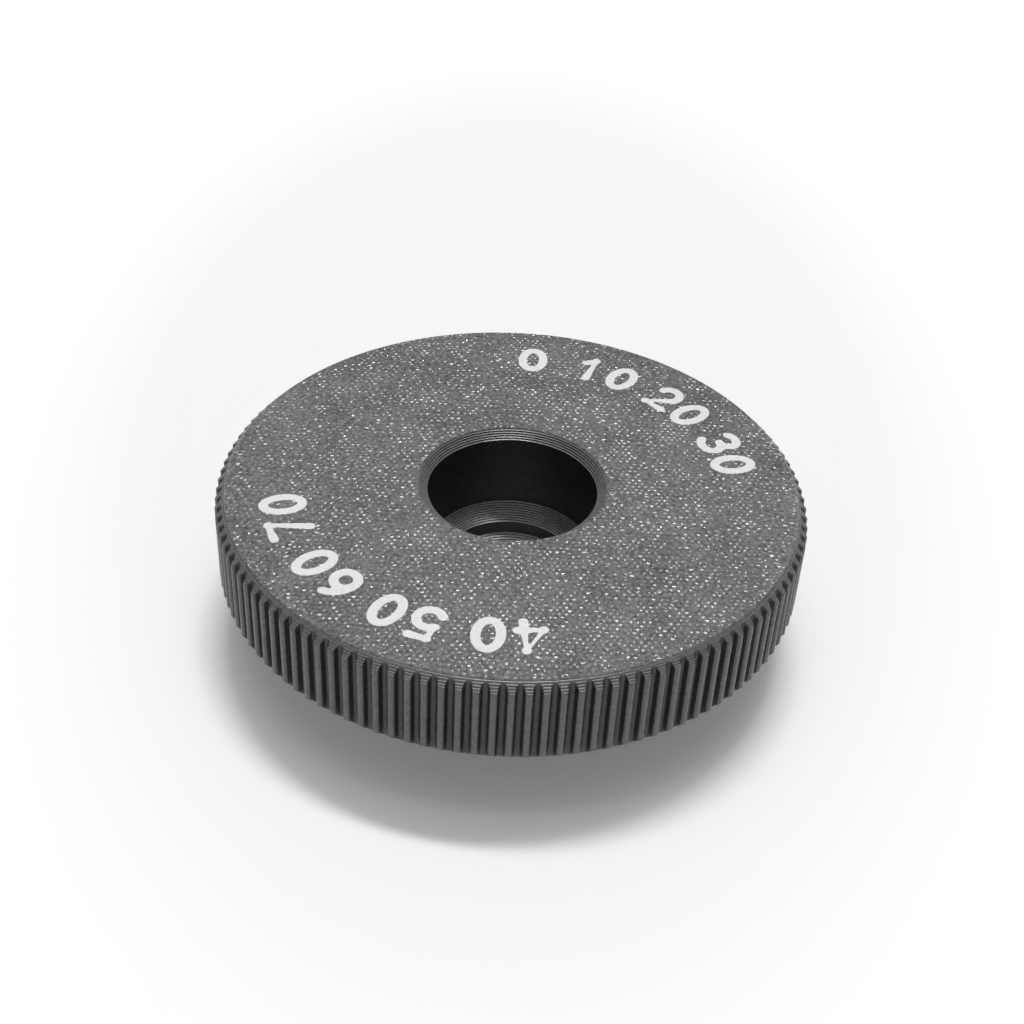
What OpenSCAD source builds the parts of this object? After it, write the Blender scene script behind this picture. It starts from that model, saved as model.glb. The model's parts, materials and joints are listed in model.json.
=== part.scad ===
// Lens gear: a fine-pitch spur gear, printed in one piece, with a stepped bore and a boss under it.
// Z is the gear's axis. The boss stands on z = 0 and the marked face is on top.

/* [Teeth] */
// Pitch diameter for each tooth
gear_module = 0.4; // [0.3:0.01:0.6]
// Number of teeth round the rim
tooth_count = 120; // [90:1:160]
// Pressure angle of the flanks, in degrees
pressure_angle = 20; // [15:0.5:25]
// Height of a tooth above the pitch circle, in modules
addendum = 1; // [0.8:0.05:1.1]
// Depth of a gap below the pitch circle, in modules
dedendum = 1.25; // [1.1:0.05:1.4]
// Size of the broken corner along each tooth tip
tip_break = 0.06; // [0.02:0.01:0.08]

/* [Rim] */
// Width of the toothed rim along the axis
rim_w = 8; // [6:0.1:14]
// Chamfer across the ends of the teeth, on both faces
rim_chamfer = 0.95; // [0.2:0.05:2]

/* [Boss] */
// Diameter of the boss under the rim
boss_d = 22; // [18:0.5:36]
// How far the boss stands below the rim
boss_h = 6; // [4.5:0.1:12]
// Chamfer round the boss's foot
foot_chamfer = 0.6; // [0.2:0.1:1.5]

/* [Bore] */
// Diameter of the counterbore that opens at the top face
counterbore_d = 14.1; // [12.5:0.1:17]
// Depth of the counterbore's straight wall, from the top face
counterbore_depth = 7.35; // [4:0.05:8.5]
// Chamfer round the counterbore's mouth
mouth_chamfer = 0.9; // [0.2:0.1:1.5]
// Diameter of the waist below the first cone
waist_d = 11.3; // [9.5:0.1:12]
// Length of the waist's straight wall
waist_len = 1.1; // [0.5:0.1:2]
// Diameter of the shaft bore through the boss
shaft_d = 8; // [6:0.1:9]

/* [Hidden] */
plastic_grey = [0.27, 0.27, 0.28];
// Straight pieces along one tooth flank
flank_steps = 2;
// How far a cutter reaches past the face that it cuts
cut_over = 0.5;
$fn = 180;

pitch_r = gear_module * tooth_count / 2;
tip_r = pitch_r + addendum * gear_module;
root_r = pitch_r - dedendum * gear_module;
base_r = pitch_r * cos(pressure_angle);
pitch_angle = 360 / tooth_count;

boss_r = boss_d / 2;
counterbore_r = counterbore_d / 2;
waist_r = waist_d / 2;
shaft_r = shaft_d / 2;

// The cones are at 45 degrees, so that each one prints without support: height equals change of radius.
top_z = boss_h + rim_w;
ledge_z = top_z - counterbore_depth;
waist_top_z = ledge_z - (counterbore_r - waist_r);
waist_foot_z = waist_top_z - waist_len;
shaft_top_z = waist_foot_z - (waist_r - shaft_r);

// Roll angle of the involute at radius r. Below the base circle the flank runs straight to the root.
function involute(r) =
    let (slope = acos(min(1, base_r / r)))
    tan(slope) * 180 / PI - slope;

// Half the angle that a tooth gap spans at radius r
function half_gap(r) = pitch_angle / 4 - involute(pitch_r) + involute(r);

function polar(r, angle) = [r * cos(angle), r * sin(angle)];

// Radius of step i along the flank, from the root to the broken corner at the tip
function flank_r(i) = root_r + (tip_r - tip_break - root_r) * i / flank_steps;

// One gap's outline: up one flank, out past the tip circle, and back down the other flank
module gap_outline() {
    // The broken corner's line runs on through the tip circle, as far outside it as inside.
    break_end_r = tip_r + tip_break;
    break_end_angle = half_gap(tip_r - tip_break) + 2 * tip_break / tip_r * 180 / PI;
    one_side = concat(
        [for (i = [0 : flank_steps]) [flank_r(i), half_gap(flank_r(i))]],
        [[break_end_r, break_end_angle], [break_end_r + cut_over, break_end_angle]]
    );
    last = len(one_side) - 1;
    polygon(concat(
        [for (i = [0 : last]) polar(one_side[i][0], one_side[i][1])],
        [for (i = [last : -1 : 0]) polar(one_side[i][0], -one_side[i][1])]
    ));
}

// Half the section of the gear before its teeth are cut, from the foot up the outside and down the bore
module section() {
    polygon([
        [shaft_r, 0],
        [boss_r - foot_chamfer, 0],
        [boss_r, foot_chamfer],
        [boss_r, boss_h],
        [tip_r - rim_chamfer, boss_h],
        [tip_r, boss_h + rim_chamfer],
        [tip_r, top_z - rim_chamfer],
        [tip_r - rim_chamfer, top_z],
        [counterbore_r + mouth_chamfer, top_z],
        [counterbore_r, top_z - mouth_chamfer],
        [counterbore_r, ledge_z],
        [waist_r, waist_top_z],
        [waist_r, waist_foot_z],
        [shaft_r, shaft_top_z]
    ]);
}

module lens_gear() {
    color(plastic_grey)
    difference() {
        rotate_extrude() section();
        for (i = [0 : tooth_count - 1])
            rotate([0, 0, i * pitch_angle])
            translate([0, 0, boss_h - cut_over])
            linear_extrude(height = rim_w + 2 * cut_over)
            gap_outline();
    }
}

lens_gear();
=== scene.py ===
# %% [markdown]
# # A printed lens gear
#
# This lesson dresses a small spur gear, the kind that turns the ring of a lens. The real one came off
# a 3-D printer in dark grey plastic, with its face down on a textured print bed. Three things give it
# its look: 120 fine teeth, the steps that printed layers leave on every slope, and the thousands of
# small pits that the bed pressed into its face.
#
# The solid part is already there at its true size, in metres. The boss stands on z = 0 and the gear's
# axis is the Z axis. Everything below is built around that solid and never moves it.

# %% Load the solid part
import json
import math
import random

import bmesh
import bpy
from mathutils import Matrix, Vector

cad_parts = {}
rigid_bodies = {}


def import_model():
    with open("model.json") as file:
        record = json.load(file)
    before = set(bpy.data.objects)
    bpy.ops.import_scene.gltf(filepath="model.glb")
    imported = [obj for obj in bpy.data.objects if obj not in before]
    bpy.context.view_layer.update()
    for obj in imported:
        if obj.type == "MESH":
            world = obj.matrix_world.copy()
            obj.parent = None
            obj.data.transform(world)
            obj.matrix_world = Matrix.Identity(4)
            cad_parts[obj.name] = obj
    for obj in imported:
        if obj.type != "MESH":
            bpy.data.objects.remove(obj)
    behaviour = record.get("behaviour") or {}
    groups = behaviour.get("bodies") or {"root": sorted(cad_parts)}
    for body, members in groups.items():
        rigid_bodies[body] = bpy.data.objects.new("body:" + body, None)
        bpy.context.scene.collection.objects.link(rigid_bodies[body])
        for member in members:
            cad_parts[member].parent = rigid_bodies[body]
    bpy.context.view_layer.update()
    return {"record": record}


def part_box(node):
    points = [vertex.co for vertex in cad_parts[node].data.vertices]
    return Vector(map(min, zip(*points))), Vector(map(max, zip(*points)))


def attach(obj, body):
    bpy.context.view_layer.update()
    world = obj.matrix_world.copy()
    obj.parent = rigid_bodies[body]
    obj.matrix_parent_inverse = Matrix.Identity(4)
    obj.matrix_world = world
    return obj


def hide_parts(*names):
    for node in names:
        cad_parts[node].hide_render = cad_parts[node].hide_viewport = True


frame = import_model()

MM = 0.001
top_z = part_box("lens_gear")[1].z
bores = {mount["name"]: mount["dims"] for mount in frame["record"]["mounts"]}
counterbore_r = bores["counterbore"]["r_mm"] * MM
waist_r = bores["waist"]["r_mm"] * MM
shaft_r = bores["shaft_bore"]["r_mm"] * MM
print(f"solid part: {top_z / MM:.1f} mm tall")
print(f"bores: radius {counterbore_r / MM:.2f}, {waist_r / MM:.2f} and {shaft_r / MM:.2f} mm")

# %% [markdown]
# ## The camera
#
# A camera could be moved by eye until the picture looks right. It is quicker, and exact, to describe the
# shot: how far away the lens was, how steeply it looked down, how much it was tipped to one side, and
# where the middle of the face fell in a square picture of 1024 pixels. The tooth tips along the front
# edge then fix the last degree of freedom, the turn about the gear's own axis.

# %% Place the camera
PICTURE_PX = 1024
FOCAL_PX = 1587
FACE_CENTRE_PX = (512.9, 481.2)
EYE_DISTANCE = 131.3 * MM
LOOK_DOWN = math.radians(37.68)
CAMERA_ROLL = math.radians(2.98)
TOOTH_TURN = math.radians(-0.176)
SENSOR_MM = 36
NEAREST_SEEN = 5 * MM

look = Vector((0, math.cos(LOOK_DOWN), -math.sin(LOOK_DOWN)))
level_right = Vector((1, 0, 0))
level_up = level_right.cross(look)
right = level_right * math.cos(CAMERA_ROLL) + level_up * math.sin(CAMERA_ROLL)
up = level_up * math.cos(CAMERA_ROLL) - level_right * math.sin(CAMERA_ROLL)
across = (FACE_CENTRE_PX[0] - PICTURE_PX / 2) / FOCAL_PX
down = (FACE_CENTRE_PX[1] - PICTURE_PX / 2) / FOCAL_PX
to_face = (look + right * across - up * down).normalized()
eye = Vector((0, 0, top_z)) - to_face * EYE_DISTANCE

bpy.ops.object.camera_add()
camera = bpy.context.object
camera.name = "camera"
camera.data.sensor_width = SENSOR_MM
camera.data.lens = FOCAL_PX / PICTURE_PX * SENSOR_MM
camera.data.clip_start = NEAREST_SEEN
axes = Matrix((right, up, -look)).transposed().to_4x4()
camera.matrix_world = Matrix.Rotation(TOOTH_TURN, 4, "Z") @ Matrix.Translation(eye) @ axes
bpy.context.scene.camera = camera
bpy.context.scene.view_settings.view_transform = "Standard"
print(f"camera: {camera.data.lens:.1f} mm lens, {EYE_DISTANCE / MM:.0f} mm from the face")

# %% [markdown]
# ## Four helpers
#
# Blender's operators act on whatever is selected, and loading the part leaves it selected. So each piece
# starts by clearing the selection, then opens its new primitive in edit mode. The third helper selects
# vertices, edges or faces by a rule, the way a person would by clicking on them. The last one counts
# triangles, because a fine texture soon has more of them than expected.

# %% Helpers for edit mode
def clear_selection():
    """Go back to object mode with nothing selected."""
    if bpy.context.object and bpy.context.object.mode != "OBJECT":
        bpy.ops.object.mode_set(mode="OBJECT")
    bpy.ops.object.select_all(action="DESELECT")


def open_piece(name):
    """Name the primitive that was just added, and open it in edit mode with all of it selected."""
    piece = bpy.context.object
    piece.name = name
    piece.data.name = name
    bpy.ops.object.mode_set(mode="EDIT")
    bpy.ops.mesh.select_all(action="SELECT")
    return piece


def select_where(piece, kind, wanted):
    """In edit mode, select only the vertices, edges or faces for which wanted() is true."""
    bpy.ops.mesh.select_mode(type=kind)
    bpy.ops.mesh.select_all(action="DESELECT")
    mesh = bmesh.from_edit_mesh(piece.data)
    for element in {"VERT": mesh.verts, "EDGE": mesh.edges, "FACE": mesh.faces}[kind]:
        if wanted(element):
            element.select_set(True)
    mesh.select_flush_mode()
    bmesh.update_edit_mesh(piece.data)


def triangles(piece):
    """How many triangles a piece has."""
    piece.data.calc_loop_triangles()
    return len(piece.data.loop_triangles)


# %% [markdown]
# ## One tooth's outline
#
# A gear tooth has involute sides: the curve that the end of a taut string draws as it unwinds from a
# drum. That curve follows from three numbers. A printer's nozzle can't draw sharp corners at this size, and
# its line swells a little to each side. So a tooth comes out fat, with a round dome for a tip, and the gap
# fills up and ends in a narrow hollow, with only a short piece of involute between them. Dome and hollow are
# quarter ellipses here. The outline is a list of angles and radii, from the middle of one gap to the middle
# of the next.

# %% Work out the tooth's outline
GEAR_MODULE = 0.4 * MM
TEETH = 120
PRESSURE_ANGLE = math.radians(20)
PRINT_SWELL = 0.03 * MM
GAP_DEPTH = 0.63 * MM
TIP_DOME = 0.20 * MM
GAP_HOLLOW = 0.16 * MM
DOME_STEPS = 3
HOLLOW_STEPS = 3

pitch_r = GEAR_MODULE * TEETH / 2
tip_r = pitch_r + GEAR_MODULE
root_r = tip_r - GAP_DEPTH
base_r = pitch_r * math.cos(PRESSURE_ANGLE)
half_pitch = math.pi / TEETH


def involute(radius):
    """Angle that the involute has turned through at this radius."""
    slope = math.acos(base_r / radius)
    return math.tan(slope) - slope


def half_tooth(radius):
    """Half the angle that a tooth spans at this radius."""
    return half_pitch / 2 + involute(pitch_r) - involute(radius) + PRINT_SWELL / radius


def half_outline():
    """Angle and radius of each point from the tip's middle down to the gap's middle."""
    dome_r, hollow_r = tip_r - TIP_DOME, root_r + GAP_HOLLOW
    points = []
    for step in range(DOME_STEPS + 1):
        turn = math.pi / 2 * step / DOME_STEPS
        points.append((half_tooth(dome_r) * math.sin(turn), dome_r + TIP_DOME * math.cos(turn)))
    gap_half = half_pitch - half_tooth(hollow_r)
    for step in range(HOLLOW_STEPS + 1):
        turn = math.pi / 2 * step / HOLLOW_STEPS
        points.append((half_pitch - gap_half * math.cos(turn), hollow_r - GAP_HOLLOW * math.sin(turn)))
    return points


half = half_outline()
outline = [(-angle, radius) for angle, radius in reversed(half[1:])] + half
print(f"tooth outline: {len(outline)} points, tips at {tip_r / MM:.2f} mm, gaps at {root_r / MM:.2f} mm")

# %% [markdown]
# ## What printing does to a slope
#
# A printer builds in layers, here 0.16 mm thick. A straight wall hides them, but a 45 degree slope comes
# out as a flight of small steps, each with a nose where the plastic bulges. That nose matters: it is what
# catches the light as a bright line along every layer. This helper turns a slope into those steps. A nose
# is a short list of points up one layer. Each point has two shares: of the layer's height, and of the step
# back to the next layer.
#
# The slopes aren't alike. The rim's noses are round, and those at the mouth of the bore are fuller. The gear
# was printed face down, so the cones in the bore hung over nothing as they were laid, and their noses
# sagged. The two slopes underneath are hardly seen, so theirs are plain.

# %% Turn a slope into printed steps
LAYER = 0.16 * MM
ROUND_NOSE = ((0, 0), (0.48, 0.12), (0.78, 0.42))
FULL_NOSE = ((0, 0), (0.75, 0), (0.95, 0.39))
SAGGED_NOSE = ((0, 0), (0.5, 0), (0.95, 0.85))
PLAIN_NOSE = ((0, 0), (0.7, 0))


def printed_slope(foot, head, nose):
    """Points (radius, z) of the steps from the foot of a slope up to its head."""
    (foot_r, foot_z), (head_r, head_z) = foot, head
    count = max(1, round((head_z - foot_z) / LAYER))
    run = (head_r - foot_r) / count
    rise = (head_z - foot_z) / count
    points = []
    for step in range(count):
        for up_share, back_share in nose:
            points.append((foot_r + run * (step + back_share), foot_z + rise * (step + up_share)))
    return points


RIM_WIDTH = 8 * MM
RIM_CHAMFER = 0.95 * MM
rim_foot_z = top_z - RIM_WIDTH
lower_steps = printed_slope((tip_r - RIM_CHAMFER, rim_foot_z), (tip_r, rim_foot_z + RIM_CHAMFER), PLAIN_NOSE)
upper_steps = printed_slope((tip_r, top_z - RIM_CHAMFER), (tip_r - RIM_CHAMFER, top_z), ROUND_NOSE)
face_edge_r = upper_steps[-len(ROUND_NOSE)][0]
rim_levels = lower_steps + [(tip_r, rim_foot_z + RIM_CHAMFER)] + upper_steps[:1 - len(ROUND_NOSE)]
print(f"rim: {len(rim_levels)} levels, of which {len(lower_steps)} are on the lower chamfer")

# %% [markdown]
# ## The toothed rim
#
# All 120 teeth are alike, so one is modelled and the Spin tool copies it round. The outline is drawn by
# extruding a single vertex from point to point, and that chain of edges is then extruded upwards level by
# level. At the chamfers, whatever would stand outside a step is pulled in to the step's radius, which is
# what a lathe does to the ends of the teeth on a metal gear.

# %% Draw one tooth and raise it
def on_outline(angle, radius):
    """A point of the outline in the plane z = 0. The tooth is turned so that a gap lies on +X."""
    return Vector((radius * math.cos(angle + half_pitch), radius * math.sin(angle + half_pitch), 0))


clear_selection()
bpy.ops.mesh.primitive_plane_add(size=LAYER)
gear = open_piece("printed_gear")
bpy.ops.mesh.merge(type="CENTER")
here = Vector((0, 0, 0))
for number, (angle, radius) in enumerate(outline):
    there = on_outline(angle, radius) + Vector((0, 0, rim_levels[0][1]))
    if number == 0:
        bpy.ops.transform.translate(value=there - here)
    else:
        bpy.ops.mesh.extrude_vertices_move(TRANSFORM_OT_translate={"value": there - here})
    here = there

bpy.ops.mesh.select_mode(type="EDGE")
bpy.ops.mesh.select_all(action="SELECT")
for (_, below), (_, above) in zip(rim_levels, rim_levels[1:]):
    bpy.ops.mesh.extrude_edges_move(TRANSFORM_OT_translate={"value": (0, 0, above - below)})

mesh = bmesh.from_edit_mesh(gear.data)
for vertex in mesh.verts:
    limit = rim_levels[vertex.index // len(outline)][0]
    radius = vertex.co.xy.length
    if radius > limit:
        vertex.co.xy *= limit / radius
bmesh.update_edit_mesh(gear.data)
print(f"one tooth: {len(mesh.verts)} vertices")

# %% Copy the tooth round the rim
MICRON = 0.001 * MM
bpy.ops.mesh.select_all(action="SELECT")
bpy.ops.mesh.spin(
    steps=TEETH - 1,
    dupli=True,
    angle=math.tau * (TEETH - 1) / TEETH,
    center=(0, 0, 0),
    axis=(0, 0, 1),
)
bpy.ops.mesh.select_all(action="SELECT")
bpy.ops.mesh.remove_doubles(threshold=MICRON)
bpy.ops.object.mode_set(mode="OBJECT")
print(f"toothed rim: {len(gear.data.vertices)} vertices")

# %% [markdown]
# ## The bore and the boss
#
# Everything round the axis is one long profile: down the boss from the rim, in across the foot, then up
# through the shaft bore, a cone, the waist, a second cone, the counterbore and its mouth. It could be
# spun from a drawn profile. Here a ring of vertices is extruded and resized from station to station,
# which is how a potter would pull it, and it leaves an even ring at every printed step.

# %% Work out the profile
MOUTH_CHAMFER = 0.9 * MM
COUNTERBORE_DEPTH = 7.35 * MM
BOSS_R = 11 * MM
FOOT_CHAMFER = 0.6 * MM

ledge_z = top_z - COUNTERBORE_DEPTH
waist_top_z = ledge_z - (counterbore_r - waist_r)
waist_foot_z = waist_top_z - bores["waist"]["length_mm"] * MM
shaft_top_z = waist_foot_z - (waist_r - shaft_r)
mouth = printed_slope(
    (counterbore_r, top_z - MOUTH_CHAMFER), (counterbore_r + MOUTH_CHAMFER, top_z), FULL_NOSE
)
mouth_edge_r = mouth[-len(FULL_NOSE)][0]
profile = [(BOSS_R, rim_foot_z), (BOSS_R, FOOT_CHAMFER)]
profile += printed_slope((BOSS_R - FOOT_CHAMFER, 0), (BOSS_R, FOOT_CHAMFER), PLAIN_NOSE)[::-1]
profile += [(shaft_r, 0)]
profile += printed_slope((shaft_r, shaft_top_z), (waist_r, waist_foot_z), SAGGED_NOSE)
profile += [(waist_r, waist_foot_z)]
profile += printed_slope((waist_r, waist_top_z), (counterbore_r, ledge_z), SAGGED_NOSE)
profile += [(counterbore_r, ledge_z)] + mouth[:1 - len(FULL_NOSE)]
print(f"profile: {len(profile)} stations from the rim's foot round to the mouth")

# %% Pull the profile ring by ring
RING_POINTS = 200

clear_selection()
ring_r, ring_z = profile[0]
bpy.ops.mesh.primitive_circle_add(vertices=RING_POINTS, radius=ring_r)
bore = open_piece("bore_and_boss")
bpy.ops.transform.translate(value=(0, 0, ring_z))
for radius, z in profile[1:]:
    bpy.ops.mesh.extrude_edges_move(TRANSFORM_OT_translate={"value": (0, 0, z - ring_z)})
    grow = radius / ring_r
    bpy.ops.transform.resize(value=(grow, grow, 1), center_override=(0, 0, z))
    ring_r, ring_z = radius, z
bpy.ops.object.mode_set(mode="OBJECT")
print(f"bore and boss: {len(profile)} rings, {len(bore.data.vertices)} vertices")

# %% [markdown]
# ## One closed body
#
# The rim and the bore are joined into one mesh. Two flat rings are still open: one under the rim, and one
# on top that the face will cover. Bridging would join their loops point by point, but one loop has eight
# times as many points as the other, and the bridge would twist. Fill takes both loops at once and spans
# the flat ring between them. With every edge closed, Blender can tell inside from outside.

# %% Join the body and fill its open rings
BODY_SMOOTH = math.radians(36)


def fill_ring(piece, wanted):
    """Fill the flat ring between the open loops that wanted() picks."""
    select_where(piece, "EDGE", lambda edge: edge.is_boundary and wanted(edge.verts[0].co))
    bpy.ops.mesh.fill()


clear_selection()
bore.select_set(True)
gear.select_set(True)
bpy.context.view_layer.objects.active = gear
bpy.ops.object.join()
bpy.ops.object.mode_set(mode="EDIT")
middle_z = top_z - RIM_WIDTH / 2
fill_ring(gear, lambda place: place.z < middle_z)
fill_ring(gear, lambda place: place.z > middle_z)
bpy.ops.mesh.select_all(action="SELECT")
bpy.ops.mesh.normals_make_consistent(inside=False)
mesh = bmesh.from_edit_mesh(gear.data)
open_edges = sum(edge.is_boundary for edge in mesh.edges)
bpy.ops.object.mode_set(mode="OBJECT")
bpy.ops.object.shade_smooth_by_angle(angle=BODY_SMOOTH)
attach(gear, "root")
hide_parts("lens_gear")
print(f"body: {triangles(gear)} triangles, {open_edges} open edges")

# %% [markdown]
# ## The pitted face
#
# The face is the first layer of the print, pressed against a bed that is covered in fine round grains. Each
# grain leaves a shallow pit about 0.4 mm across, and light from above flashes on the far wall of thousands
# of them. A bump texture would fake that from one side only, so the pits are modelled. Their facets stay
# flat shaded: each one flashes or stays dark by itself, as on a cut stone, and that makes the sparkle.
#
# A net of triangles comes first, shaken so that no rows show. Corners near the rim or the bore are pulled
# onto its edge, and the rest is cut away.

# %% Spread a shaken net over the face
PIT_PITCH = 0.5 * MM
PIT_SHAKE = 0.16 * MM
SHAKES = 3
PIT_SEED = 11
EDGE_BREAK = 0.07 * MM
SKIN_SINK = 0.02 * MM
EDGE_PULL = 0.3 * MM
NET_SMOOTH = 0.3
# Width of the net in radii of the face, with room for its slant
NET_WIDTH = 2.5

face_out_r = face_edge_r - EDGE_BREAK
face_in_r = mouth_edge_r + EDGE_BREAK
middle_r = (face_in_r + face_out_r) / 2
skin_z = top_z - SKIN_SINK
net_cells = math.ceil(NET_WIDTH * face_out_r / PIT_PITCH)

clear_selection()
bpy.ops.mesh.primitive_grid_add(
    x_subdivisions=net_cells,
    y_subdivisions=net_cells,
    size=net_cells * PIT_PITCH,
)
skin = open_piece("pitted_face")
bpy.ops.mesh.quads_convert_to_tris(quad_method="FIXED")
mesh = bmesh.from_edit_mesh(skin.data)
for vertex in mesh.verts:
    vertex.co = (vertex.co.x + vertex.co.y / 2, vertex.co.y * math.sqrt(3) / 2, 0)
bmesh.update_edit_mesh(skin.data)
for shake in range(SHAKES):
    bpy.ops.transform.vertex_random(offset=PIT_SHAKE, seed=PIT_SEED + shake)
    bpy.ops.transform.resize(value=(1, 1, 0))
    bpy.ops.mesh.beautify_fill()
bpy.ops.mesh.vertices_smooth(factor=NET_SMOOTH)
bpy.ops.transform.translate(value=(0, 0, skin_z))
print(f"net: {net_cells} by {net_cells} cells")

# %% Fit the net to the rim and the bore
def nearest_edge(vertex):
    """Radius of the face's edge, outer or inner, that is nearer to this corner of the net."""
    return face_out_r if vertex.co.xy.length > middle_r else face_in_r


def off_the_face(vertex):
    """True outside the band between the bore and the rim."""
    return not face_in_r - MICRON < vertex.co.xy.length < face_out_r + MICRON


def pinched(vertex):
    """True where two corners of the trimmed net meet in one point."""
    return sum(edge.is_boundary for edge in vertex.link_edges) > 2


def pull_to_edge(wanted):
    """Move the corners that wanted() picks straight out or in, onto the nearer edge of the face."""
    mesh = bmesh.from_edit_mesh(skin.data)
    for vertex in mesh.verts:
        if wanted(vertex):
            vertex.co.xy *= nearest_edge(vertex) / vertex.co.xy.length
    bmesh.update_edit_mesh(skin.data)


pull_to_edge(lambda vertex: abs(vertex.co.xy.length - nearest_edge(vertex)) < EDGE_PULL)
select_where(skin, "VERT", off_the_face)
bpy.ops.mesh.delete(type="VERT")
select_where(skin, "VERT", pinched)
bpy.ops.mesh.delete(type="VERT")
bpy.ops.mesh.select_all(action="SELECT")
bpy.ops.mesh.delete_loose()
pull_to_edge(lambda vertex: vertex.is_boundary)
print(f"net: {len(bmesh.from_edit_mesh(skin.data).verts)} corners on the face")

# %% [markdown]
# Cutting a corner off the net with a vertex bevel leaves a many-sided cell there, half as wide as the mesh
# round it. A cell that is inset and pushed down has a sloping wall, and poking its floor turns it into a
# bowl. The bed's grains differ, so each cell is dealt one of four kinds of pit, from wide and deep to
# hardly there. The material number that a face carries is a handy mark for telling the kinds apart.

# %% Turn each corner of the net into a pit
CUT_SHARE = 50
RIDGE, PIT = 0, 1
SMALLEST_PIT = 0.03 * MM * MM
# Area over perimeter squared, below which a cell is a sliver and stays flat. A circle has 0.08.
LEAST_ROUND = 0.042
# Share of the pits, plain margin, width of the wall, depth of the wall, depth of the bowl in its floor
PIT_KINDS = (
    (0.25, 0, 0.10 * MM, 0.040 * MM, 0.036 * MM),
    (0.20, 0.06 * MM, 0.08 * MM, 0.030 * MM, 0.024 * MM),
    (0.25, 0, 0.10 * MM, 0.030 * MM, 0.028 * MM),
    (0.30, 0, 0.10 * MM, 0.016 * MM, 0.014 * MM),
)
FLOOR_SHAKE = 0.010 * MM

select_where(skin, "VERT", lambda vertex: not vertex.is_boundary)
for _ in range(len(PIT_KINDS) + 1):
    skin.data.materials.append(None)
bpy.ops.mesh.bevel(offset_type="PERCENT", offset_pct=CUT_SHARE, affect="VERTICES", material=PIT)
bpy.ops.mesh.remove_doubles(threshold=MICRON)
deal = random.Random(PIT_SEED)
shares = [kind[0] for kind in PIT_KINDS]
mesh = bmesh.from_edit_mesh(skin.data)
for face in mesh.faces:
    kind = deal.choices(range(PIT, PIT + len(PIT_KINDS)), shares)[0]
    at_edge = any(vertex.is_boundary for vertex in face.verts)
    big = face.calc_area() > max(SMALLEST_PIT, LEAST_ROUND * face.calc_perimeter() ** 2)
    face.material_index = kind if big and (at_edge or face.material_index == PIT) else RIDGE
bmesh.update_edit_mesh(skin.data)

for number, (_, margin, wall, depth, bowl) in enumerate(PIT_KINDS, PIT):
    select_where(skin, "FACE", lambda face: face.material_index == number)
    pit_count = sum(face.select for face in bmesh.from_edit_mesh(skin.data).faces)
    if margin:
        bpy.ops.mesh.inset(use_individual=True, use_even_offset=False, thickness=margin)
    bpy.ops.mesh.inset(use_individual=True, use_even_offset=False, thickness=wall, depth=-depth)
    bpy.ops.transform.vertex_random(offset=FLOOR_SHAKE, seed=PIT_SEED + number)
    bpy.ops.mesh.poke(offset=-bowl)
    print(f"pits of kind {number}: {pit_count}")

# %% [markdown]
# The first layer has a thickness of its own. Its edge is broken a little, as any printed edge is, and taken
# down to the layer below, at the rim and at the mouth of the bore. Then the skin is closed underneath.

# %% Give the first layer its edge and its thickness
def drop_edge(outer, top_r, side_r):
    """Break the outer or the inner edge of the skin, and take it down to the layer below."""
    def at_this_edge(edge):
        return edge.is_boundary and (edge.verts[0].co.xy.length > middle_r) == outer

    select_where(skin, "EDGE", at_this_edge)
    bpy.ops.mesh.extrude_edges_move(TRANSFORM_OT_translate={"value": (0, 0, -EDGE_BREAK)})
    bpy.ops.transform.resize(value=(side_r / top_r, side_r / top_r, 1), center_override=(0, 0, 0))
    bpy.ops.mesh.extrude_edges_move(TRANSFORM_OT_translate={"value": (0, 0, -LAYER)})


drop_edge(True, face_out_r, face_edge_r)
drop_edge(False, face_in_r, mouth_edge_r)
fill_ring(skin, lambda place: True)
bpy.ops.mesh.select_all(action="SELECT")
bpy.ops.mesh.normals_make_consistent(inside=False)
mesh = bmesh.from_edit_mesh(skin.data)
for face in mesh.faces:
    face.material_index = RIDGE
open_edges = sum(edge.is_boundary for edge in mesh.edges)
bpy.ops.object.mode_set(mode="OBJECT")
bpy.ops.object.shade_flat()
skin.data.materials.clear()
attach(skin, "root")
print(f"pitted face: {triangles(skin)} triangles, {open_edges} open edges")

# %% [markdown]
# ## The dial numbers
#
# White marks lie in the face. The printer laid them first, in white, and printed the grey round them, so
# they are level with the face and have the round ends and even width of a nozzle's line. They are plain
# dial numbers here. Each figure is a few strokes in a box 0.6 wide and 1 tall, made of points and arcs, and
# each stroke is a curve with a round bevel, which gives it its even width. A ball at each of its points
# rounds its corners and its ends.

# %% Write the figures as strokes
def arc(middle, radii, start, end, steps=14):
    """Points along an ellipse's arc, from one angle to another in degrees."""
    turns = [math.radians(start + (end - start) * step / steps) for step in range(steps + 1)]
    return [(middle[0] + radii[0] * math.cos(turn), middle[1] + radii[1] * math.sin(turn)) for turn in turns]


FIGURES = {
    "0": [arc((0.3, 0.5), (0.3, 0.5), 90, 450, 24)],
    "1": [[(0.1, 0.78), (0.34, 1), (0.34, 0)]],
    "2": [arc((0.3, 0.7), (0.3, 0.3), 165, -35) + [(0, 0), (0.6, 0)]],
    "3": [arc((0.28, 0.76), (0.28, 0.24), 150, -90), arc((0.28, 0.26), (0.32, 0.26), 90, -150)],
    "4": [[(0.46, 0), (0.46, 1), (0, 0.3), (0.62, 0.3)]],
    "5": [[(0.56, 1), (0.1, 1), (0.06, 0.56)] + arc((0.28, 0.32), (0.32, 0.32), 125, -150)],
    "6": [arc((0.3, 0.3), (0.3, 0.3), 150, 510, 24), arc((0.62, 0.36), (0.62, 0.64), 186, 110, 8)],
    "7": [[(0, 1), (0.6, 1), (0.22, 0)]],
}
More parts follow.
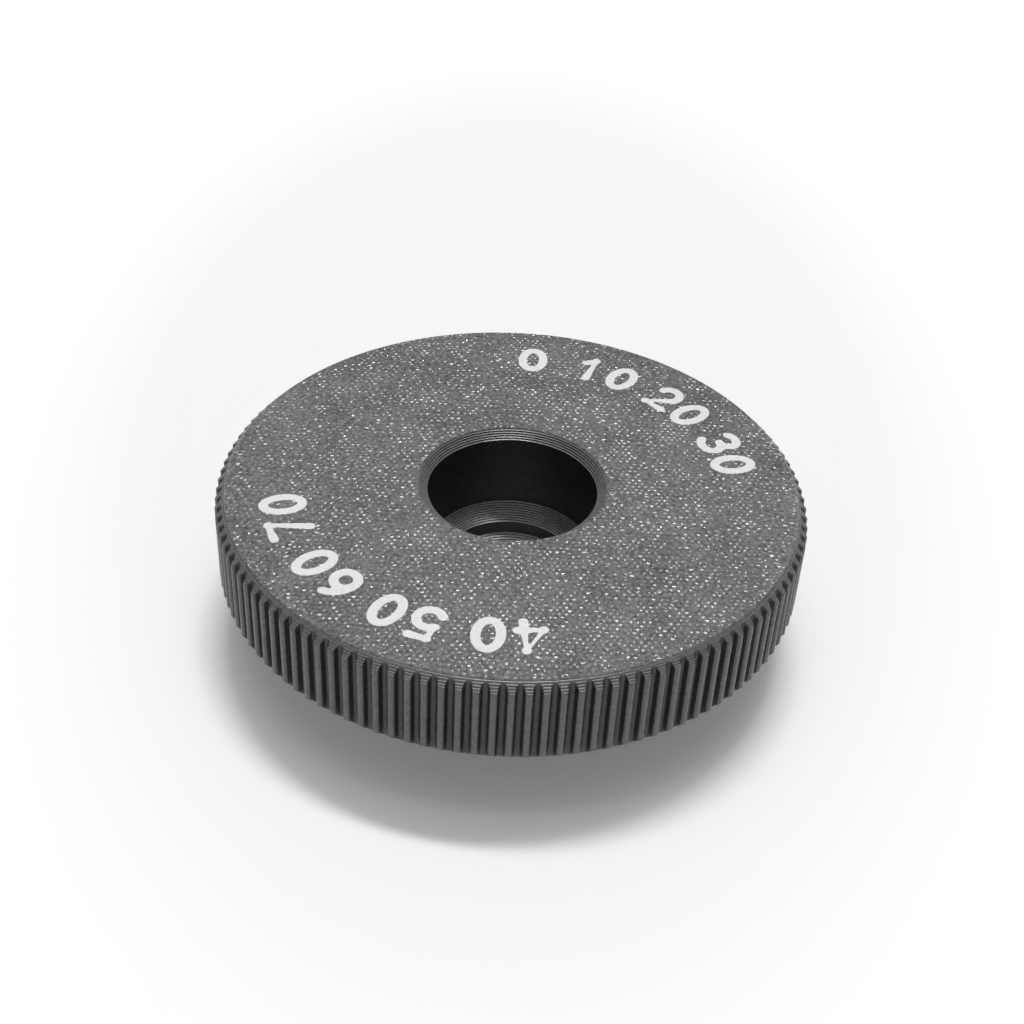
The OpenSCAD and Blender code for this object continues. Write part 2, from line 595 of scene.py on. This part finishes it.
# Number, and the middle of its place round the face, in degrees from the side nearest the camera
DIAL = (
    ("0", 176), ("10", 155), ("20", 131), ("30", 107),
    ("40", 1), ("50", -23), ("60", -47), ("70", -71),
)
print(f"dial: {len(DIAL)} numbers, from {len(FIGURES)} figures")

# %% Place the figures round the face
FIGURE_TALL = 3.15 * MM
FIGURE_STEP = 2.95 * MM
FIGURE_FOOT_R = 17.4 * MM
# Width of a figure's box, where its height is 1
FIGURE_WIDE = 0.6
STROKE_R = 0.43 * MM
STROKE_BEVEL = 3
BALL_SEGMENTS = 12
BALL_RINGS = 8
# Depth of a stroke's middle below the face, which is half the inlay's thickness
INLAY_DEPTH = 0.14 * MM


def add_stroke(points, place):
    """Add one stroke as a round-bevelled curve, with a ball at each of its points."""
    curve = bpy.data.curves.new("stroke", "CURVE")
    curve.dimensions = "3D"
    curve.bevel_depth = STROKE_R
    curve.bevel_resolution = STROKE_BEVEL
    line = curve.splines.new("POLY")
    line.points.add(len(points) - 1)
    for point, (x, y) in zip(line.points, points):
        point.co = (*(place @ Vector((x, y, 0))), 1)
    stroke = bpy.data.objects.new("stroke", curve)
    bpy.context.collection.objects.link(stroke)
    strokes.append(stroke)
    for x, y in points:
        bpy.ops.mesh.primitive_uv_sphere_add(
            segments=BALL_SEGMENTS,
            ring_count=BALL_RINGS,
            radius=STROKE_R,
            location=place @ Vector((x, y, 0)),
        )
        strokes.append(bpy.context.object)


def figure_place(turn, offset):
    """Matrix from a figure's box to its place on the face: reading clockwise, its top to the rim."""
    outward = Vector((math.sin(turn), -math.cos(turn), 0))
    along = Vector((-math.cos(turn), -math.sin(turn), 0))
    foot = outward * FIGURE_FOOT_R + Vector((0, 0, top_z - INLAY_DEPTH))
    place = Matrix((along, outward, Vector((0, 0, 1)))).transposed().to_4x4()
    place.translation = foot
    return place @ Matrix.Translation((offset, 0, 0)) @ Matrix.Scale(FIGURE_TALL, 4)


clear_selection()
strokes = []
for number, degrees in DIAL:
    for index, figure in enumerate(number):
        middle_step = (index - (len(number) - 1) / 2) * FIGURE_STEP / FIGURE_FOOT_R
        place = figure_place(math.radians(degrees) - middle_step, -FIGURE_WIDE / 2 * FIGURE_TALL)
        for points in FIGURES[figure]:
            add_stroke(points, place)
print(f"dial: {len(strokes)} strokes and balls")

# %% [markdown]
# Tubes and balls run through each other, so they are melted into one skin with a voxel remesh. That skin is
# then pressed flat, as the bed pressed the real inlay: everything above the face comes down to it, and
# everything below the inlay's depth comes up.

# %% Melt the strokes together and press them flat
INLAY_VOXEL = 0.1 * MM
MOTTLE = 0.008 * MM
MOTTLE_SEED = 3
INLAY_SMOOTH = math.radians(60)


def press_flat(piece, wanted, z):
    """Bring the vertices that wanted() picks to one height."""
    select_where(piece, "VERT", wanted)
    bpy.ops.transform.resize(value=(1, 1, 0), center_override=(0, 0, z))


bpy.ops.object.select_all(action="DESELECT")
for stroke in strokes:
    stroke.select_set(True)
bpy.context.view_layer.objects.active = strokes[0]
bpy.ops.object.convert(target="MESH")
bpy.ops.object.join()
numbers = bpy.context.object
numbers.name = "dial_numbers"
numbers.data.name = "dial_numbers"
melt = numbers.modifiers.new("melt", "REMESH")
melt.mode = "VOXEL"
melt.voxel_size = INLAY_VOXEL
bpy.ops.object.modifier_apply(modifier=melt.name)
bpy.ops.object.mode_set(mode="EDIT")
inlay_top_z = top_z - MOTTLE
inlay_foot_z = top_z - 2 * INLAY_DEPTH
press_flat(numbers, lambda vertex: vertex.co.z > inlay_top_z, inlay_top_z)
press_flat(numbers, lambda vertex: vertex.co.z < inlay_foot_z, inlay_foot_z)
bpy.ops.mesh.select_all(action="SELECT")
bpy.ops.transform.vertex_random(offset=MOTTLE, seed=MOTTLE_SEED)
bpy.ops.object.mode_set(mode="OBJECT")
bpy.ops.object.shade_smooth_by_angle(angle=INLAY_SMOOTH)
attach(numbers, "root")
print(f"dial numbers: {triangles(numbers)} triangles")

# %% [markdown]
# ## Effects that the finishes share
#
# Grey walls, the grey face and the white inlay are the same kind of plastic from the same printer, so they
# share three effects, each built once as a node group: the ridges of the printed layers, the fine grain
# that the bed left, and the small changes of tone and gloss that keep plastic from looking painted. All of
# them read Object coordinates, so a pattern stays on the part from every side.

# %% Helpers for nodes
def add_node(tree, kind, label, **settings):
    """Add a node, name it for what it does, and set its properties."""
    node = tree.nodes.new(kind)
    node.name = node.label = label
    for name, value in settings.items():
        setattr(node, name, value)
    return node


def math_node(tree, label, operation, first, second=None):
    """A Math node on two inputs, each a socket or a plain number. Returns its output."""
    node = add_node(tree, "ShaderNodeMath", label, operation=operation)
    for socket, value in zip(node.inputs, (first, second)):
        if isinstance(value, bpy.types.NodeSocket):
            tree.links.new(value, socket)
        elif value is not None:
            socket.default_value = value
    return node.outputs["Value"]


def noise_node(tree, label, size, detail):
    """Noise on Object coordinates, with lumps of about this size. Returns its value, round one half."""
    place = add_node(tree, "ShaderNodeTexCoord", label + " place")
    noise = add_node(tree, "ShaderNodeTexNoise", label)
    noise.inputs["Scale"].default_value = 1 / size
    noise.inputs["Detail"].default_value = detail
    tree.links.new(place.outputs["Object"], noise.inputs["Vector"])
    return noise.outputs["Fac"]


def new_group(name, inputs, outputs):
    """A node group with these named sockets. Returns the group, its input node and its output node."""
    group = bpy.data.node_groups.new(name, "ShaderNodeTree")
    for direction, sockets in (("INPUT", inputs), ("OUTPUT", outputs)):
        for socket, kind in sockets.items():
            group.interface.new_socket(name=socket, in_out=direction, socket_type=kind)
    return group, add_node(group, "NodeGroupInput", "in"), add_node(group, "NodeGroupOutput", "out")


VALUE = "NodeSocketFloat"
COLOUR = "NodeSocketColor"

# %% [markdown]
# The layers are a wave up the Z axis, one crest per layer. A little noise bends the wave, because a printer's
# lines are never quite even. On a level face the height is the same everywhere, so the wave leaves it alone.

# %% Node group: printed layers
UNEVEN_SIZE = 2 * MM
layers, given, result = new_group("printed_layers", {"Wander": VALUE}, {"Height": VALUE})
place = add_node(layers, "ShaderNodeTexCoord", "place")
split = add_node(layers, "ShaderNodeSeparateXYZ", "height above the table")
layers.links.new(place.outputs["Object"], split.inputs["Vector"])
uneven = noise_node(layers, "uneven lines", UNEVEN_SIZE, detail=2)
wander = math_node(layers, "wander", "MULTIPLY", uneven, given.outputs["Wander"])
count = math_node(layers, "layers up", "DIVIDE", split.outputs["Z"], LAYER)
count = math_node(layers, "bent layers", "ADD", count, wander)
wave = math_node(layers, "wave", "SINE", math_node(layers, "half turns", "MULTIPLY", count, math.pi))
layers.links.new(math_node(layers, "crest", "ABSOLUTE", wave), result.inputs["Height"])
print(f"node group: {layers.name}")

# %% [markdown]
# The grain is the bed's finer roughness, too small to model: lumps of less than a tenth of a millimetre, and
# under them the straight lines of plastic that the nozzle laid side by side, at 45 degrees.

# %% Node group: bed grain
LINE_WIDTH = 0.42 * MM
LUMP_SIZE = 0.09 * MM
grain, given, result = new_group("bed_grain", {"Lumps": VALUE, "Lines": VALUE}, {"Height": VALUE})
fine = noise_node(grain, "fine lumps", LUMP_SIZE, detail=3)
lumps = math_node(grain, "lumps", "MULTIPLY", fine, given.outputs["Lumps"])
place = add_node(grain, "ShaderNodeTexCoord", "place")
split = add_node(grain, "ShaderNodeSeparateXYZ", "across the face")
grain.links.new(place.outputs["Object"], split.inputs["Vector"])
diagonal = math_node(grain, "diagonal", "ADD", split.outputs["X"], split.outputs["Y"])
turns = math_node(grain, "lines across", "MULTIPLY", diagonal, math.pi / (LINE_WIDTH * math.sqrt(2)))
crest = math_node(grain, "crest", "ABSOLUTE", math_node(grain, "wave", "SINE", turns))
lines = math_node(grain, "lines", "MULTIPLY", crest, given.outputs["Lines"])
grain.links.new(math_node(grain, "grain", "ADD", lumps, lines), result.inputs["Height"])
print(f"node group: {grain.name}")

# %% [markdown]
# The tone group mixes a darker and a lighter version of one colour by two sizes of noise, and moves the gloss
# between two limits with a third.

# %% Node group: plastic tone
BROAD_PATCH = 4 * MM
SMALL_PATCH = 0.35 * MM
SMALL_WEIGHT = 3
GLOSS_PATCH = 0.8 * MM
# Sums of the two noises at which the colour is all dark and all light
ALL_DARK, ALL_LIGHT = 1.4, 2.6
# A Mix node has sockets for every kind of data. These are the ones for colours.
MIX_FIRST, MIX_SECOND, MIX_RESULT = 6, 7, 2

tone, given, result = new_group(
    "plastic_tone",
    {"Dark": COLOUR, "Light": COLOUR, "Gloss low": VALUE, "Gloss high": VALUE},
    {"Colour": COLOUR, "Roughness": VALUE},
)
broad = noise_node(tone, "broad patches", BROAD_PATCH, detail=2)
small = noise_node(tone, "small patches", SMALL_PATCH, detail=3)
mottle = math_node(tone, "small ones count more", "MULTIPLY", small, SMALL_WEIGHT)
mottle = math_node(tone, "both patches", "ADD", mottle, broad)
spread = add_node(tone, "ShaderNodeMapRange", "full spread")
spread.inputs["From Min"].default_value = ALL_DARK
spread.inputs["From Max"].default_value = ALL_LIGHT
tone.links.new(mottle, spread.inputs["Value"])
mix = add_node(tone, "ShaderNodeMix", "dark to light", data_type="RGBA")
tone.links.new(spread.outputs["Result"], mix.inputs["Factor"])
tone.links.new(given.outputs["Dark"], mix.inputs[MIX_FIRST])
tone.links.new(given.outputs["Light"], mix.inputs[MIX_SECOND])
tone.links.new(mix.outputs[MIX_RESULT], result.inputs["Colour"])
gloss = add_node(tone, "ShaderNodeMapRange", "gloss")
tone.links.new(noise_node(tone, "gloss patches", GLOSS_PATCH, detail=3), gloss.inputs["Value"])
tone.links.new(given.outputs["Gloss low"], gloss.inputs["To Min"])
tone.links.new(given.outputs["Gloss high"], gloss.inputs["To Max"])
tone.links.new(gloss.outputs["Result"], result.inputs["Roughness"])
print(f"node group: {tone.name}")

# %% [markdown]
# ## The five finishes
#
# Each finish is one shader with those groups in front of it. Walls show layers, and there are three kinds of
# wall: open ones, the floors of the gaps between the teeth, and those that get little light. The last two
# are the open walls' plastic painted darker, as painted shade for the shade between the teeth and deep in
# the bore. The face and the inlay were pressed on the bed, so they show grain. The heights are real ones, a
# few thousandths of a millimetre.

# %% Make the plastic finishes
def plastic(name, dark, light, gloss, shine, texture, texture_inputs, height):
    """A plastic finish: a tone for its colour and roughness, and one texture group for its relief.

    The gloss is a pair: the roughness where the plastic shines most, and where it shines least.
    """
    finish = bpy.data.materials.new(name)
    finish.use_nodes = True
    tree = finish.node_tree
    shader = tree.nodes["Principled BSDF"]
    colour = add_node(tree, "ShaderNodeGroup", "tone", node_tree=tone)
    colour.inputs["Dark"].default_value = (*dark, 1)
    colour.inputs["Light"].default_value = (*light, 1)
    colour.inputs["Gloss low"].default_value, colour.inputs["Gloss high"].default_value = gloss
    tree.links.new(colour.outputs["Colour"], shader.inputs["Base Color"])
    tree.links.new(colour.outputs["Roughness"], shader.inputs["Roughness"])
    shader.inputs["Specular IOR Level"].default_value = shine
    relief = add_node(tree, "ShaderNodeGroup", "relief", node_tree=texture)
    for socket, value in texture_inputs.items():
        relief.inputs[socket].default_value = value
    bump = add_node(tree, "ShaderNodeBump", "relief to light")
    bump.inputs["Distance"].default_value = height
    tree.links.new(relief.outputs["Height"], bump.inputs["Height"])
    tree.links.new(bump.outputs["Normal"], shader.inputs["Normal"])
    print(f"finish: {name}")
    return finish


LAYER_RELIEF = 0.008 * MM
FACE_RELIEF = 0.004 * MM
INLAY_RELIEF = 0.008 * MM
WALL_LINES = {"Wander": 0.6}
FACE_GRAIN = {"Lumps": 1.0, "Lines": 0.6}
INLAY_GRAIN = {"Lumps": 1.0, "Lines": 0.4}

wall_finish = plastic(
    "grey_walls", dark=(0.100, 0.100, 0.102), light=(0.145, 0.145, 0.147), gloss=(0.22, 0.34), shine=0.5,
    texture=layers, texture_inputs=WALL_LINES, height=LAYER_RELIEF,
)
# Painted shade: a darker grey for the floors of the gaps between the teeth
gap_floor_painted_shade = plastic(
    "grey_gap_floors_painted_shade", dark=(0.055, 0.055, 0.056), light=(0.080, 0.080, 0.081), gloss=(0.30, 0.42), shine=0.4,
    texture=layers, texture_inputs=WALL_LINES, height=LAYER_RELIEF,
)
# Painted shade: a near black for the flanks of the teeth and the upright walls of the bore
deep_painted_shade = plastic(
    "grey_deep_painted_shade", dark=(0.020, 0.020, 0.020), light=(0.036, 0.036, 0.037), gloss=(0.34, 0.46), shine=0.3,
    texture=layers, texture_inputs=WALL_LINES, height=LAYER_RELIEF,
)
face_finish = plastic(
    "grey_face", dark=(0.090, 0.090, 0.091), light=(0.245, 0.245, 0.246), gloss=(0.20, 0.30), shine=0.6,
    texture=grain, texture_inputs=FACE_GRAIN, height=FACE_RELIEF,
)
inlay_finish = plastic(
    "white_figures", dark=(0.74, 0.75, 0.76), light=(0.86, 0.87, 0.88), gloss=(0.40, 0.60), shine=0.5,
    texture=grain, texture_inputs=INLAY_GRAIN, height=INLAY_RELIEF,
)
gear.data.materials.append(wall_finish)
gear.data.materials.append(gap_floor_painted_shade)
gear.data.materials.append(deep_painted_shade)
skin.data.materials.append(face_finish)
numbers.data.materials.append(inlay_finish)

# %% [markdown]
# The body has the three wall finishes in three material slots, and its faces start in the first, the open
# walls. A rule picks the faces for each of the others. All upright faces in the band of the teeth go to the
# gaps. Then the flanks among them, which face sideways, go to the shade, and so do the upright walls of the
# bore. Both darker finishes are painted shade: their colour darkens the places that the light hardly
# reaches, on top of the shade that the lamps cast there.

# %% Give the walls their finishes
GAP_SLOT, SHADE_SLOT = 1, 2
# A wall is upright while its normal rises or falls less than this
UPRIGHT_RISE = 0.3
# A face between the teeth is a flank while its normal points outwards less than this
FLANK_OUTWARD = 0.5


def upright(face):
    """True on a wall that stands straight up."""
    return abs(face.normal.z) < UPRIGHT_RISE


def between_teeth(face):
    """True on the flanks of the teeth and on the floors of the gaps."""
    radius = face.calc_center_median().xy.length
    return upright(face) and root_r - MICRON < radius < tip_r - TIP_DOME


def in_the_shade(face):
    """True on the walls of the bore and on the flanks of the teeth."""
    middle = face.calc_center_median().xy
    if middle.length < mouth_edge_r:
        return upright(face)
    return between_teeth(face) and face.normal.xy.dot(middle.normalized()) < FLANK_OUTWARD


def give_finish(wanted, number):
    """Give the faces of the gear that wanted() picks the finish in this slot."""
    select_where(gear, "FACE", wanted)
    gear.active_material_index = number
    bpy.ops.object.material_slot_assign()


clear_selection()
bpy.context.view_layer.objects.active = gear
bpy.ops.object.mode_set(mode="EDIT")
# The gaps and the shaded walls get the two darker finishes, which are painted shade
give_finish(between_teeth, GAP_SLOT)
give_finish(in_the_shade, SHADE_SLOT)
bpy.ops.object.mode_set(mode="OBJECT")
gap_faces = sum(face.material_index == GAP_SLOT for face in gear.data.polygons)
shade_faces = sum(face.material_index == SHADE_SLOT for face in gear.data.polygons)
print(f"walls: {gap_faces} faces in the gaps, {shade_faces} in the shade")

# %% [markdown]
# ## The floor
#
# The gear stands on white paper that turns up all round its edge, like the paper in a photographer's light
# tent, so that a low camera sees white behind the gear too.

# %% Lay the white floor
FLOOR_R = 2
FLOOR_CORNERS = 96
BACKDROP_TALL = 0.35

clear_selection()
bpy.ops.mesh.primitive_circle_add(vertices=FLOOR_CORNERS, radius=FLOOR_R, fill_type="NGON")
floor = open_piece("floor")
select_where(floor, "EDGE", lambda edge: edge.is_boundary)
bpy.ops.mesh.extrude_edges_move(TRANSFORM_OT_translate={"value": (0, 0, BACKDROP_TALL)})
bpy.ops.object.mode_set(mode="OBJECT")
print(f"floor: {FLOOR_R} m to its edge, which turns up by {BACKDROP_TALL} m")

# %% [markdown]
# Paper is lit like anything else, so the shadow on it is real. Further out the picture fades to pure white:
# there the camera sees a plain white glow in place of the paper. A little of that white lies over the paper
# near the gear too, as painted light that lifts the shadow there. Light Path keeps the glow for the camera
# and for reflections, so it adds no light to the gear.

# %% Make the paper
PAPER = (0.94, 0.94, 0.935, 1)
FADE_CENTRE = (0, 35 * MM, 0)
FADE_SQUEEZE = (1, 0.55, 1)
FADE_START = 34 * MM
FADE_END = 50 * MM
# Share of white glow over the paper near the gear: painted light that lifts the shadow there
LEAST_WHITE = 0.14

paper = bpy.data.materials.new("white_paper")
paper.use_nodes = True
tree = paper.node_tree
shader = tree.nodes["Principled BSDF"]
shader.inputs["Base Color"].default_value = PAPER
shader.inputs["Roughness"].default_value = 1
shader.inputs["Specular IOR Level"].default_value = 0
glow = add_node(tree, "ShaderNodeEmission", "white")
place = add_node(tree, "ShaderNodeTexCoord", "place")
shift = add_node(tree, "ShaderNodeVectorMath", "from the middle of the paper", operation="SUBTRACT")
shift.inputs[1].default_value = FADE_CENTRE
tree.links.new(place.outputs["Object"], shift.inputs[0])
squeeze = add_node(tree, "ShaderNodeVectorMath", "round in the picture", operation="MULTIPLY")
squeeze.inputs[1].default_value = FADE_SQUEEZE
tree.links.new(shift.outputs["Vector"], squeeze.inputs[0])
distance = add_node(tree, "ShaderNodeVectorMath", "distance from the middle", operation="LENGTH")
tree.links.new(squeeze.outputs["Vector"], distance.inputs[0])
fade = add_node(tree, "ShaderNodeMapRange", "fade", interpolation_type="SMOOTHSTEP")
fade.inputs["From Min"].default_value = FADE_START
fade.inputs["From Max"].default_value = FADE_END
fade.inputs["To Min"].default_value = LEAST_WHITE
tree.links.new(distance.outputs["Value"], fade.inputs["Value"])
ray = add_node(tree, "ShaderNodeLightPath", "what is looking")
camera_ray = ray.outputs["Is Camera Ray"]
seen = math_node(tree, "seen or mirrored", "MAXIMUM", camera_ray, ray.outputs["Is Glossy Ray"])
seen = math_node(tree, "or through glass", "MAXIMUM", seen, ray.outputs["Is Transmission Ray"])
share = math_node(tree, "share of white", "MULTIPLY", fade.outputs["Result"], seen)
blend = add_node(tree, "ShaderNodeMixShader", "paper to white")
tree.links.new(share, blend.inputs["Fac"])
tree.links.new(shader.outputs["BSDF"], blend.inputs[1])
tree.links.new(glow.outputs["Emission"], blend.inputs[2])
tree.links.new(blend.outputs["Shader"], tree.nodes["Material Output"].inputs["Surface"])
floor.data.materials.append(paper)
print(f"paper: to {FADE_START / MM:.0f} mm, white from {FADE_END / MM:.0f} mm")

# %% [markdown]
# ## The light
#
# The shadow tells where the light was. Its front edge comes from a strip lamp almost overhead, a little
# behind the gear, with a longer tube just above it that softens the ends of the shadow. Both make the pits
# flash. A large lamp straight overhead reaches down the bore to its cones, and a wide soft ceiling fills the
# shadow. Hardly any light comes from the sides: the teeth get theirs from the paper in front of them, and
# the upright walls of the bore, which see little of paper or lamps, stay nearly black. Their finish and that
# of the flanks of the teeth add painted shade to it.

# %% Hang the lamps in a dim room
STRIP_PLACE = Vector((0.09, 0.42, 1.95))
STRIP_SIZE = (0.6, 0.14)
STRIP_WATTS = 20
TUBE_PLACE = Vector((0.09, 0.42, 1.97))
TUBE_SIZE = (1.4, 0.10)
TUBE_WATTS = 5
OVERHEAD_PLACE = Vector((0, -0.02, 2.0))
OVERHEAD_SIZE = (1.4, 0.9)
OVERHEAD_WATTS = 6.5
CEILING_PLACE = Vector((0, -0.2, 1.5))
CEILING_SIZE = (2.2, 2.2)
CEILING_WATTS = 5.5
ROOM = 0.06


def hang_lamp(name, place, size, watts):
    """A rectangular lamp at this place, turned to the gear."""
    bpy.ops.object.light_add(type="AREA", location=place)
    lamp = bpy.context.object
    lamp.name = name
    lamp.rotation_euler = (-place).to_track_quat("-Z", "Y").to_euler()
    lamp.data.shape = "RECTANGLE"
    lamp.data.size, lamp.data.size_y = size
    lamp.data.energy = watts
    print(f"lamp: {name}, {watts} W")


hang_lamp("strip", STRIP_PLACE, STRIP_SIZE, STRIP_WATTS)
hang_lamp("tube", TUBE_PLACE, TUBE_SIZE, TUBE_WATTS)
hang_lamp("overhead", OVERHEAD_PLACE, OVERHEAD_SIZE, OVERHEAD_WATTS)
hang_lamp("ceiling", CEILING_PLACE, CEILING_SIZE, CEILING_WATTS)
world = bpy.data.worlds.new("dim_room")
bpy.context.scene.world = world
world.use_nodes = True
world.node_tree.nodes["Background"].inputs["Color"].default_value = (1, 1, 1, 1)
world.node_tree.nodes["Background"].inputs["Strength"].default_value = ROOM
print(f"room: white, at a strength of {ROOM}")
